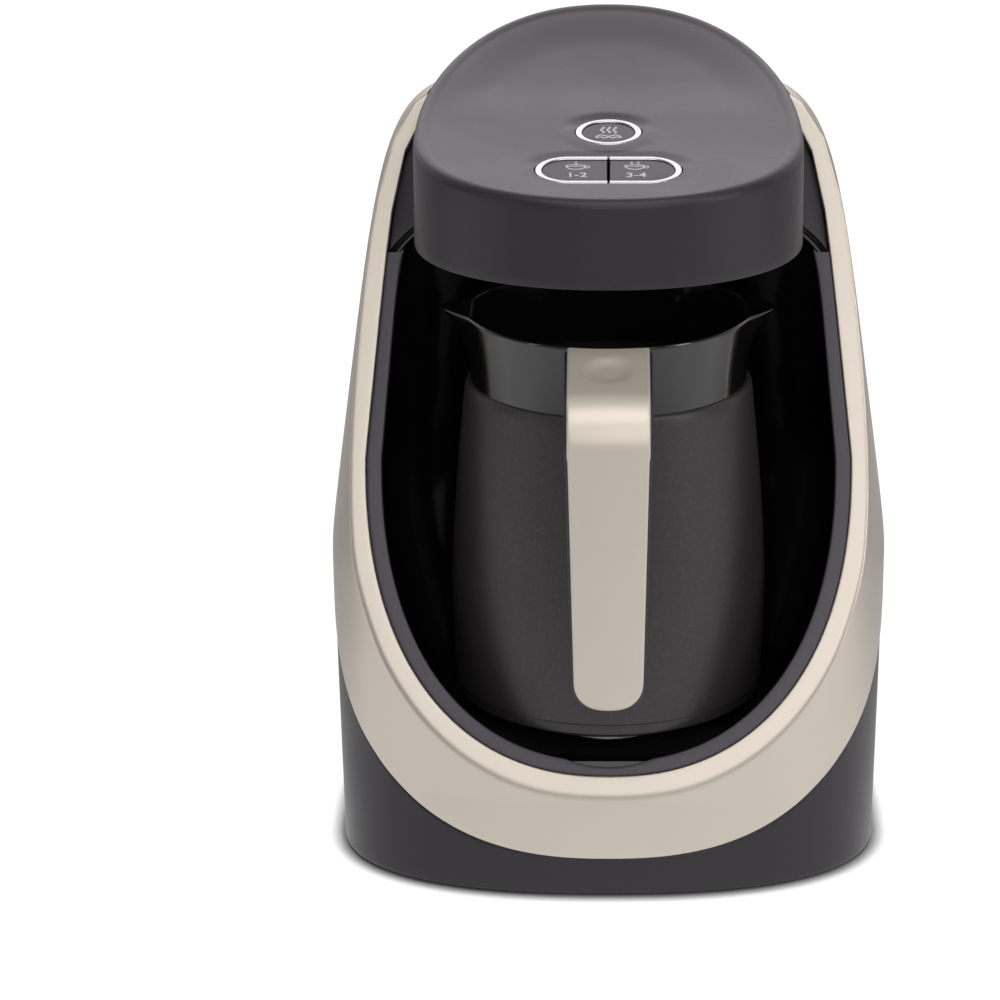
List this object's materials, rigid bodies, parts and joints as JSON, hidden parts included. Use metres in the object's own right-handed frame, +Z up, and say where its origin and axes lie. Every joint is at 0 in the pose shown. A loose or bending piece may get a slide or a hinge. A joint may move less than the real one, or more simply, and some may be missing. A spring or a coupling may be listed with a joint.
{
  "type": "electric turkish coffee maker",
  "caption": "Countertop Turkish coffee maker: rounded leaning tower with a deep pot well, overhanging head with push buttons, and a two-spouted pot with a strap handle.",
  "frame": {"origin": "centre of the bounding box at the surface the feet stand on, the pot's handle included", "axes": "+Z up, front (pot, handle and buttons) towards -Y, +X to the right seen from the front"},
  "size_m": [0.1582, 0.208, 0.2255],
  "materials": {
    "anthracite_body": "fine satin anthracite with a faint metallic flake",
    "champagne": "pearl champagne lacquer, satin",
    "rim_grey": "semi-gloss grey",
    "gloss_black": "polished black",
    "dark_plastic": "fine grained black",
    "rubber": "matte rubber",
    "screw_steel": "zinc plated",
    "sensor_window": "smoked infrared window",
    "circuit_board": "solder mask over laminate",
    "button_face": "satin grey",
    "chrome": "bright plated",
    "led_lens": "clear lens",
    "plate_steel": "turned steel",
    "fuse_ceramic": "unglazed ceramic",
    "power_parts": "moulded cases",
    "wire_sleeve": "silicone sleeve",
    "pot_coating": "fine sparkling non-stick coating",
    "pot_gloss": "the same coating, polished"
  },
  "bodies": {
    "tower": {"rear_housing": "anthracite_body", "trim_collar": "champagne", "rim_ring": "rim_grey", "cavity_liner": "gloss_black", "cheek_panels": "anthracite_body", "bottom_plate": "dark_plastic", "rubber_feet": "rubber", "base_screws": "screw_steel", "cord_gland": "rubber", "cord_clamp": "dark_plastic", "clamp_screws": "screw_steel", "head_shell": "anthracite_body", "head_underside": "dark_plastic", "head_screws": "screw_steel", "sensor_window": "sensor_window", "sensor_board": "circuit_board", "button_carrier": "dark_plastic", "control_board": "circuit_board", "tact_switches": "dark_plastic", "indicator_leds": "led_lens", "buzzer": "dark_plastic", "board_screws": "screw_steel", "heating_plate": "plate_steel", "plate_seal": "rubber", "heating_element": "plate_steel", "element_bracket": "screw_steel", "thermostat": "dark_plastic", "thermal_fuse": "fuse_ceramic", "power_board": "circuit_board", "power_parts": "power_parts", "power_screws": "screw_steel", "internal_wires": "wire_sleeve"},
    "pot": {"pot_body": "pot_coating", "pot_crown": "pot_gloss", "pot_base": "pot_coating", "handle_core": "dark_plastic", "handle_cover": "champagne", "handle_rivets": "screw_steel"},
    "slow_key": {"slow_button": "button_face", "slow_button_rim": "chrome"},
    "small_cup_key": {"small_cup_button": "button_face", "small_cup_rim": "chrome"},
    "large_cup_key": {"large_cup_button": "button_face", "large_cup_rim": "chrome"}
  },
  "joints": [
    {"name": "pot_withdraw", "type": "slide", "parent": "tower", "child": "pot", "axis": [0, -0.9833, 0.1822], "range_m": [0, 0.13]},
    {"name": "slow_press", "type": "slide", "parent": "tower", "child": "slow_key", "axis": [0, 0.1478, -0.989], "range_m": [0, 0.0012], "stiffness_N_per_m": 600, "springref_m": -0.0005},
    {"name": "small_cup_press", "type": "slide", "parent": "tower", "child": "small_cup_key", "axis": [0, 0.1478, -0.989], "range_m": [0, 0.0012], "stiffness_N_per_m": 600, "springref_m": -0.0005},
    {"name": "large_cup_press", "type": "slide", "parent": "tower", "child": "large_cup_key", "axis": [0, 0.1478, -0.989], "range_m": [0, 0.0012], "stiffness_N_per_m": 600, "springref_m": -0.0005}
  ]
}
